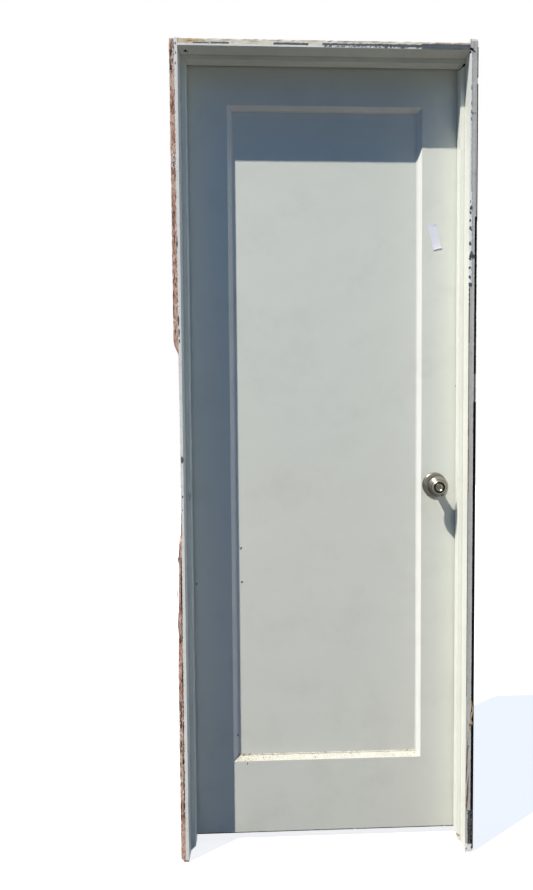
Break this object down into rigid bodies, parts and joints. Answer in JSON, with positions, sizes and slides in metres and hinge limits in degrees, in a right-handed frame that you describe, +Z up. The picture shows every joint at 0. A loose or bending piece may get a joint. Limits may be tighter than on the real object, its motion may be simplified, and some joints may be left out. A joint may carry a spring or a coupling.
{
  "type": "interior door",
  "caption": "White painted interior door with a single recessed panel, hung on butt hinges in a wooden frame with stops, with a round knob on each face.",
  "frame": {"origin": "on the outer face of the hinge jamb, at mid depth of the jamb, at its foot", "axes": "+X from the hinge jamb to the strike jamb, +Y from the stop side to the hinge side, +Z up"},
  "size_m": [0.7622, 0.178, 2.0865],
  "materials": {
    "jamb_paint": "white semi-gloss paint on wood, worn to bare wood on the front edges",
    "stop_paint": "white semi-gloss paint on wood",
    "door_paint": "white semi-gloss paint on wood",
    "panel_paint": "white semi-gloss paint on a flat wood panel",
    "sticking_paint": "white semi-gloss paint on wood moulding",
    "hinge_steel": "satin nickel plate",
    "latch_steel": "satin nickel plate",
    "knob_nickel": "satin nickel plate, spun"
  },
  "bodies": {
    "frame": {"hinge_jamb": "jamb_paint", "strike_jamb": "jamb_paint", "head_jamb": "jamb_paint", "hinge_side_stop": "stop_paint", "strike_side_stop": "stop_paint", "head_stop": "stop_paint", "frame_hinge_leaf_top": "hinge_steel", "frame_hinge_leaf_middle": "hinge_steel", "frame_hinge_leaf_bottom": "hinge_steel", "hinge_pin_top": "hinge_steel", "hinge_pin_middle": "hinge_steel", "hinge_pin_bottom": "hinge_steel", "strike_plate": "latch_steel"},
    "door": {"hinge_stile": "door_paint", "lock_stile": "door_paint", "top_rail": "door_paint", "bottom_rail": "door_paint", "panel": "panel_paint", "front_sticking_left": "sticking_paint", "front_sticking_right": "sticking_paint", "front_sticking_top": "sticking_paint", "front_sticking_bottom": "sticking_paint", "back_sticking_left": "sticking_paint", "back_sticking_right": "sticking_paint", "back_sticking_top": "sticking_paint", "back_sticking_bottom": "sticking_paint", "door_hinge_leaf_top": "hinge_steel", "door_hinge_leaf_middle": "hinge_steel", "door_hinge_leaf_bottom": "hinge_steel", "latch_case": "latch_steel", "latch_faceplate": "latch_steel", "latch_bolt": "latch_steel", "front_rose": "knob_nickel", "back_rose": "knob_nickel"},
    "knobs": {"spindle": "latch_steel", "front_knob": "knob_nickel", "back_knob": "knob_nickel", "front_release_cap": "knob_nickel", "back_turn_button": "knob_nickel"}
  },
  "joints": [
    {"name": "door_swing", "type": "hinge", "parent": "frame", "child": "door", "pos_m": [0.0231, 0.064, 1.036], "axis": [0, 0, 1], "range_deg": [0, 170]},
    {"name": "knob_turn", "type": "hinge", "parent": "door", "child": "knobs", "pos_m": [0.6746, 0.0405, 0.964], "axis": [0, 1, 0], "range_deg": [-50, 50], "stiffness_Nm_per_rad": 0.4}
  ]
}
